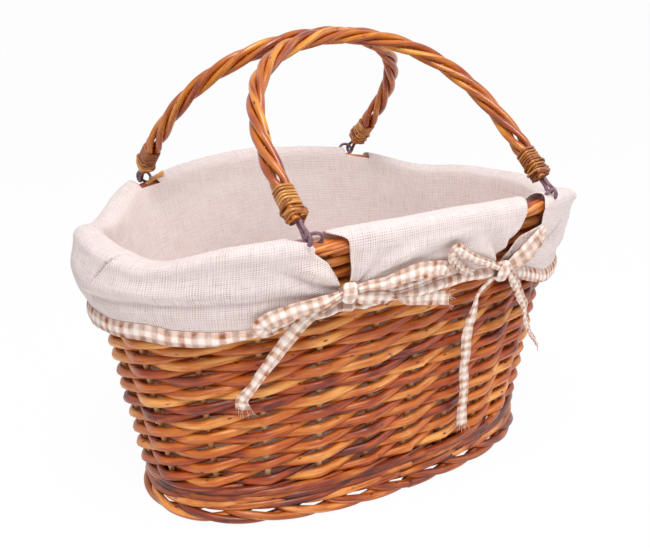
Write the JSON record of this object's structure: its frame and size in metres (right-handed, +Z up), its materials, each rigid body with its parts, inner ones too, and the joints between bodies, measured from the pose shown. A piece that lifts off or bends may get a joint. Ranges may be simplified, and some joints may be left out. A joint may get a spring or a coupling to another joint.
{
  "type": "pie basket",
  "caption": "Oval woven willow basket with a tied cloth liner, gingham hem and bows, and two folding twisted-rod handles hung on wire rings.",
  "frame": {"origin": "middle of the oval foot, on the surface the basket stands on", "axes": "+Z up, +X along the oval's length towards its right end, -Y towards the front"},
  "size_m": [0.3854, 0.2922, 0.3313],
  "materials": {
    "honey_willow": "varnished honey-orange willow",
    "dark_willow": "varnished red-brown willow",
    "pale_stake_willow": "peeled pale willow",
    "split_willow_skein": "varnished split willow",
    "painted_wire": "purple-brown painted wire",
    "linen_cloth": "loosely woven off-white linen",
    "brown_gingham": "brown and white gingham"
  },
  "bodies": {
    "basket": {"foot_border": "dark_willow", "lower_wale": "dark_willow", "base_weave": "honey_willow", "side_weave": "honey_willow", "rim_border": "honey_willow", "liner": "linen_cloth", "gingham_hem": "brown_gingham", "base_long_stick_1": "pale_stake_willow", "base_cross_stick_1": "pale_stake_willow", "base_long_stick_2": "pale_stake_willow", "base_cross_stick_2": "pale_stake_willow", "base_long_stick_3": "pale_stake_willow", "base_cross_stick_3": "pale_stake_willow", "stake_01": "pale_stake_willow", "stake_02": "pale_stake_willow", "stake_03": "pale_stake_willow", "stake_04": "pale_stake_willow", "stake_05": "pale_stake_willow", "stake_06": "pale_stake_willow", "stake_07": "pale_stake_willow", "stake_08": "pale_stake_willow", "stake_09": "pale_stake_willow", "stake_10": "pale_stake_willow", "stake_11": "pale_stake_willow", "stake_12": "pale_stake_willow", "stake_13": "pale_stake_willow", "stake_14": "pale_stake_willow", "stake_15": "pale_stake_willow", "stake_16": "pale_stake_willow", "stake_17": "pale_stake_willow", "stake_18": "pale_stake_willow", "stake_19": "pale_stake_willow", "stake_20": "pale_stake_willow", "stake_21": "pale_stake_willow", "stake_22": "pale_stake_willow", "front_left_bow": "brown_gingham", "front_left_rim_ring": "painted_wire", "front_right_bow": "brown_gingham", "front_right_rim_ring": "painted_wire", "back_left_bow": "brown_gingham", "back_left_rim_ring": "painted_wire", "back_right_bow": "brown_gingham", "back_right_rim_ring": "painted_wire"},
    "front_handle": {"front_handle_rod_1": "honey_willow", "front_handle_rod_2": "honey_willow", "front_handle_rod_3": "honey_willow", "front_handle_rod_4": "honey_willow", "front_handle_left_binding": "split_willow_skein", "front_handle_left_eye": "painted_wire", "front_handle_right_binding": "split_willow_skein", "front_handle_right_eye": "painted_wire"},
    "back_handle": {"back_handle_rod_1": "honey_willow", "back_handle_rod_2": "honey_willow", "back_handle_rod_3": "honey_willow", "back_handle_rod_4": "honey_willow", "back_handle_left_binding": "split_willow_skein", "back_handle_left_eye": "painted_wire", "back_handle_right_binding": "split_willow_skein", "back_handle_right_eye": "painted_wire"}
  },
  "joints": [
    {"name": "front_handle_swing", "type": "hinge", "parent": "basket", "child": "front_handle", "pos_m": [0, -0.125, 0.217], "axis": [1, 0, 0], "range_deg": [0, 175]},
    {"name": "back_handle_swing", "type": "hinge", "parent": "basket", "child": "back_handle", "pos_m": [0, 0.125, 0.217], "axis": [-1, 0, 0], "range_deg": [0, 175]}
  ]
}
